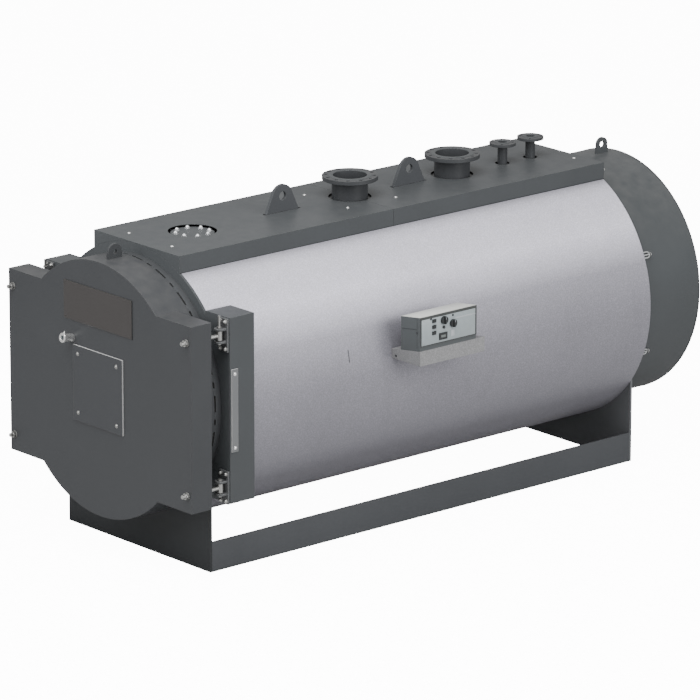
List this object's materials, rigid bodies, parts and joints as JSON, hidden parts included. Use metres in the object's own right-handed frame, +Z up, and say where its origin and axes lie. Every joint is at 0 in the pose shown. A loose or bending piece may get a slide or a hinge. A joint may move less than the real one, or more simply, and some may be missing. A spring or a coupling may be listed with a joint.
{
  "type": "industrial boiler",
  "caption": "Horizontal shell hot-water boiler on a steel base, with a hinged front door, flanged connections on top, a smoke box behind and a control panel at its side.",
  "frame": {"origin": "on the floor under the front base plate, in the middle of its width and thickness", "axes": "+X to the right seen from the door, +Y from the door to the flue, +Z up"},
  "size_m": [1.974, 4.3834, 2.031],
  "materials": {
    "dark_paint": "satin",
    "bare_steel": "satin",
    "pale_paint": "satin",
    "strip_paint": "satin",
    "panel_paint": "satin",
    "fascia_plastic": "matte",
    "black_plastic": "matte",
    "gauge_plastic": "gloss",
    "refractory": "matte",
    "rope": "matte",
    "nameplate_paint": "satin"
  },
  "bodies": {
    "frame": {"base_beams": "dark_paint", "base_front_plate": "dark_paint", "base_rear_plate": "dark_paint", "cleaning_hatch": "dark_paint", "door_frame_ring": "dark_paint", "flue_spigot": "dark_paint", "front_tube_plate": "dark_paint", "furnace_end": "bare_steel", "furnace_tube": "bare_steel", "hinge_forks": "dark_paint", "hinge_post_left": "dark_paint", "hinge_post_right": "dark_paint", "inspection_cover": "dark_paint", "inspection_neck": "dark_paint", "jacket": "pale_paint", "jacket_front_cover": "dark_paint", "lifting_lugs": "dark_paint", "panel_case": "panel_paint", "panel_fascia": "fascia_plastic", "panel_gauge": "gauge_plastic", "panel_shelf": "pale_paint", "panel_switches": "black_plastic", "pivot_pins": "bare_steel", "post_strips": "strip_paint", "pressure_shell": "dark_paint", "rear_tube_plate": "dark_paint", "return_nozzle": "dark_paint", "safety_nozzles": "dark_paint", "shell_top_plate": "dark_paint", "smoke_box": "dark_paint", "smoke_box_back": "dark_paint", "smoke_box_clamps": "bare_steel", "smoke_tubes": "bare_steel", "supply_nozzle": "dark_paint", "top_cover_front": "dark_paint", "top_cover_rear": "dark_paint"},
    "door": {"door_skin": "dark_paint", "door_lining": "refractory", "door_rope": "rope", "burner_plate": "dark_paint", "nameplate": "nameplate_paint", "sight_glass": "bare_steel", "eye_bolts": "bare_steel"},
    "upper_knob": {"knob_upper": "black_plastic"},
    "lower_knob": {"knob_lower": "black_plastic"}
  },
  "joints": [
    {"name": "door_hinge", "type": "hinge", "parent": "frame", "child": "door", "pos_m": [0.811, -0.052, 1.0165], "axis": [0, 0, 1], "range_deg": [0, 105]},
    {"name": "upper_knob_turn", "type": "hinge", "parent": "frame", "child": "upper_knob", "pos_m": [1.088, 1.437, 1.363], "axis": [1, 0, 0], "range_deg": [-270, 0]},
    {"name": "lower_knob_turn", "type": "hinge", "parent": "frame", "child": "lower_knob", "pos_m": [1.088, 1.508, 1.332], "axis": [1, 0, 0], "range_deg": [-270, 0]}
  ]
}
